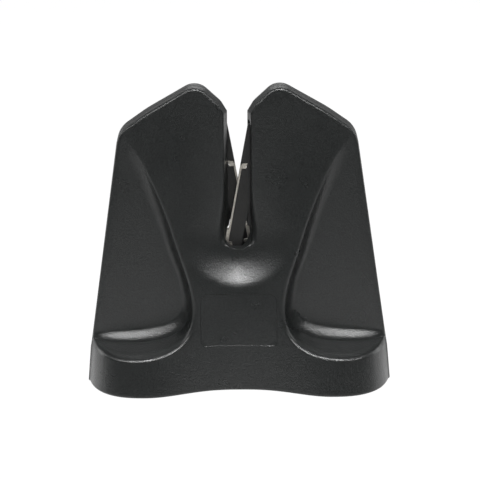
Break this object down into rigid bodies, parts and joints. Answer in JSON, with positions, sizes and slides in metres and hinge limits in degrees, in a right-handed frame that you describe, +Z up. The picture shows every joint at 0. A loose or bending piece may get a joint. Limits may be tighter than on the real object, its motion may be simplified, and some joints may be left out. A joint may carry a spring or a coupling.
{
  "type": "knife sharpener",
  "caption": "Tabletop knife sharpener: sprung, crossing arms with honing strips stand in the slot of a moulded housing with finger grips, and part as a blade is drawn through.",
  "frame": {"origin": "on the table under the middle of the base", "axes": "+X to the right seen from the front, +Y to the rear, +Z up"},
  "size_m": [0.14, 0.072, 0.1375],
  "materials": {
    "housing": "fine moulded texture, charcoal",
    "plate": "plain moulded, black",
    "arm": "smooth moulded, black",
    "honing": "fine abrasive coat on steel",
    "steel": "bright drawn wire and zinc plate",
    "rubber": "matt"
  },
  "bodies": {
    "housing": {"front_shell": "housing", "rear_shell": "housing", "left_pivot_pin": "steel", "right_pivot_pin": "steel", "front_spring": "steel", "rear_spring": "steel", "front_stop_bumper": "rubber", "rear_stop_bumper": "rubber", "housing_screw_1": "steel", "housing_screw_2": "steel", "housing_screw_3": "steel", "housing_screw_4": "steel", "base_plate": "plate", "base_screw_1": "steel", "base_screw_2": "steel", "base_screw_3": "steel", "base_screw_4": "steel", "foot_1": "rubber", "foot_2": "rubber", "foot_3": "rubber", "foot_4": "rubber"},
    "front_swing": {"front_arm": "arm", "front_honing_strip": "honing"},
    "rear_swing": {"rear_arm": "arm", "rear_honing_strip": "honing"}
  },
  "joints": [
    {"name": "front_arm_hinge", "type": "hinge", "parent": "housing", "child": "front_swing", "pos_m": [-0.00498, 0, 0.045], "axis": [0, 1, 0], "range_deg": [0, 8], "stiffness_Nm_per_rad": 0.4, "springref_deg": -20.05, "deforming": ["front_spring"]},
    {"name": "rear_arm_hinge", "type": "hinge", "parent": "housing", "child": "rear_swing", "pos_m": [0.00498, 0, 0.045], "axis": [0, -1, 0], "range_deg": [0, 8], "stiffness_Nm_per_rad": 0.4, "springref_deg": -20.05, "deforming": ["rear_spring"]}
  ]
}
